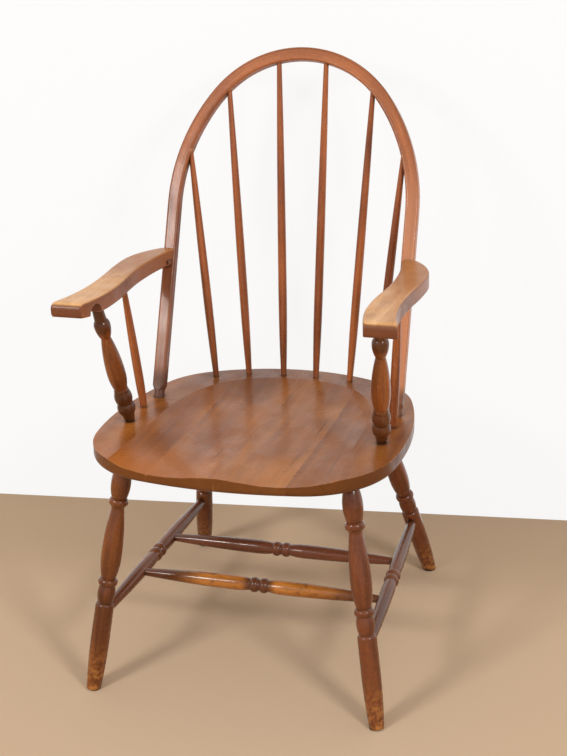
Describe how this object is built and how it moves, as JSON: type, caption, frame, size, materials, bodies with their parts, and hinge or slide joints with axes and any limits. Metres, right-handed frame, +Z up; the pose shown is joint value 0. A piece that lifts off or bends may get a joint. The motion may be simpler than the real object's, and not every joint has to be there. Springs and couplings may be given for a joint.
{
  "type": "bow-back armchair",
  "caption": "Wooden bow-back Windsor armchair with a saddled seat, sawn arms, tapered back spindles, and turned arm posts, legs and stretchers.",
  "frame": {"origin": "on the floor, under the middle of the chair's bounding box", "axes": "+Z up, -Y towards the front of the seat, +X to the viewer's right when facing the chair; symmetric about X = 0"},
  "size_m": [0.5778, 0.6229, 1.007],
  "materials": {
    "seat_wood": "satin varnish, worn",
    "turned_wood": "satin varnish, worn",
    "bow_wood": "satin varnish, worn",
    "arm_wood": "satin varnish, worn",
    "spindle_wood": "satin varnish, worn"
  },
  "bodies": {
    "root": {"arm_dowel_left": "arm_wood", "arm_dowel_right": "arm_wood", "arm_left": "arm_wood", "arm_post_left": "turned_wood", "arm_post_right": "turned_wood", "arm_right": "arm_wood", "arm_spindle_left": "spindle_wood", "arm_spindle_right": "spindle_wood", "back_spindle_inner_left": "spindle_wood", "back_spindle_inner_right": "spindle_wood", "back_spindle_outer_left": "spindle_wood", "back_spindle_outer_right": "spindle_wood", "back_spindle_second_left": "spindle_wood", "back_spindle_second_right": "spindle_wood", "bow": "bow_wood", "cross_stretcher_front": "turned_wood", "cross_stretcher_rear": "turned_wood", "leg_front_left": "turned_wood", "leg_front_right": "turned_wood", "leg_rear_left": "turned_wood", "leg_rear_right": "turned_wood", "seat_board_1": "seat_wood", "seat_board_2": "seat_wood", "seat_board_3": "seat_wood", "seat_board_4": "seat_wood", "side_stretcher_left": "turned_wood", "side_stretcher_right": "turned_wood"}
  },
  "joints": []
}
